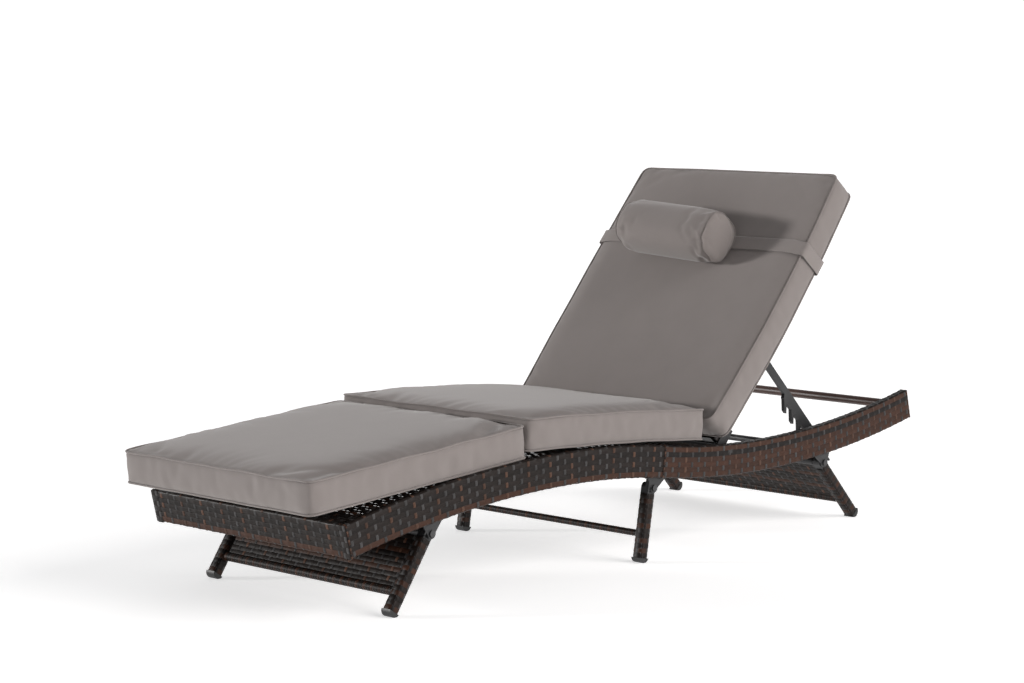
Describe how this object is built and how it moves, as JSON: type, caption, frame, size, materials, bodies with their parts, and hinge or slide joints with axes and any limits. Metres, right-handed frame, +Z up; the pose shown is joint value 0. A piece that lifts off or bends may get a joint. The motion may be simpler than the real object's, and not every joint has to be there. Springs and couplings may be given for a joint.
{
  "type": "reclining sun lounger",
  "caption": "Folding wicker sun lounger with curved rails, folding legs, a reclining backrest on a toothed prop, box cushions and a head pillow on a strap.",
  "frame": {"origin": "on the floor, under the centre of the bounding box at rest", "axes": "+X along the lounger towards the head end, +Y to the left side of a person lying on it, +Z up"},
  "size_m": [2.1144, 0.6838, 0.9048],
  "materials": {
    "dark_wicker": "satin woven resin strips, dark espresso",
    "brown_wicker": "satin woven resin strips, brown",
    "black_steel": "satin black powder coat",
    "brown_steel": "satin brown powder coat",
    "black_plastic": "matte moulded",
    "fastener_steel": "black zinc plated",
    "cushion_fabric": "woven polyester, taupe grey",
    "strap_webbing": "the cushion cloth sewn as a flat band"
  },
  "bodies": {
    "frame": {"back_hinge_bolts": "fastener_steel", "back_hinge_covers": "black_plastic", "back_hinge_washers": "black_plastic", "catch_crossbar": "black_steel", "foot_apron_tubes": "black_steel", "foot_apron_wicker": "dark_wicker", "foot_cushion": "cushion_fabric", "front_leg_brackets": "black_steel", "head_crossbar": "brown_steel", "hip_cross_tube": "black_steel", "knee_cross_tube": "black_steel", "left_front_rail_wicker": "dark_wicker", "left_rail_tubes": "black_steel", "left_rear_rail_wicker": "brown_wicker", "leg_hinge_bolts": "fastener_steel", "mid_leg_brackets": "black_steel", "rear_leg_brackets": "black_steel", "right_front_rail_wicker": "dark_wicker", "right_rail_tubes": "black_steel", "right_rear_rail_wicker": "brown_wicker", "seat_cross_tube": "black_steel", "seat_cushion": "cushion_fabric", "seat_deck_wicker": "dark_wicker"},
    "backrest": {"back_bottom_tube": "black_steel", "back_cushion": "cushion_fabric", "back_hinge_plates": "black_steel", "back_middle_tube": "black_steel", "back_top_tube": "black_steel", "back_wicker": "dark_wicker", "left_back_side_tube": "black_steel", "prop_pivot_brackets": "black_steel", "prop_pivot_pins": "fastener_steel", "right_back_side_tube": "black_steel"},
    "prop": {"left_prop_rack": "black_steel", "prop_crossrod": "black_steel", "right_prop_rack": "black_steel"},
    "front_leg": {"front_foot_caps": "black_plastic", "front_leg_crossbar": "dark_wicker", "front_leg_hinge_tube": "black_steel", "front_leg_panel": "dark_wicker", "left_front_leg_tube": "black_steel", "left_front_leg_wicker": "dark_wicker", "right_front_leg_tube": "black_steel", "right_front_leg_wicker": "dark_wicker"},
    "mid_leg": {"left_mid_leg_tube": "black_steel", "left_mid_leg_wicker": "dark_wicker", "mid_foot_caps": "black_plastic", "mid_leg_crossbar": "dark_wicker", "right_mid_leg_tube": "black_steel", "right_mid_leg_wicker": "dark_wicker"},
    "rear_leg": {"left_rear_leg_tube": "black_steel", "left_rear_leg_wicker": "dark_wicker", "rear_foot_caps": "black_plastic", "rear_leg_crossbar": "dark_wicker", "rear_leg_hinge_tube": "black_steel", "rear_leg_panel": "dark_wicker", "right_rear_leg_tube": "black_steel", "right_rear_leg_wicker": "dark_wicker"},
    "pillow": {"headrest_pillow": "cushion_fabric", "pillow_strap": "strap_webbing"}
  },
  "joints": [
    {"name": "back_recline", "type": "hinge", "parent": "frame", "child": "backrest", "pos_m": [0.309, 0, 0.243], "axis": [0, 1, 0], "range_deg": [0, 44.2]},
    {"name": "prop_swing", "type": "hinge", "parent": "backrest", "child": "prop", "pos_m": [0.51379, 0, 0.45192], "axis": [0, -1, 0], "range_deg": [0, 95]},
    {"name": "front_leg_fold", "type": "hinge", "parent": "frame", "child": "front_leg", "pos_m": [-0.70088, 0, 0.17238], "axis": [0, -1, 0], "range_deg": [0, 124]},
    {"name": "mid_leg_fold", "type": "hinge", "parent": "frame", "child": "mid_leg", "pos_m": [0.03833, 0, 0.18061], "axis": [0, -1, 0], "range_deg": [0, 92]},
    {"name": "rear_leg_fold", "type": "hinge", "parent": "frame", "child": "rear_leg", "pos_m": [0.70293, 0, 0.16303], "axis": [0, 1, 0], "range_deg": [0, 130]},
    {"name": "pillow_slide", "type": "slide", "parent": "backrest", "child": "pillow", "axis": [0.6547, 0, 0.7559], "range_m": [-0.28, 0.12]}
  ],
  "couplings": [
    {"joint": "prop_swing", "follows": "back_recline", "ratio": 2.14}
  ]
}
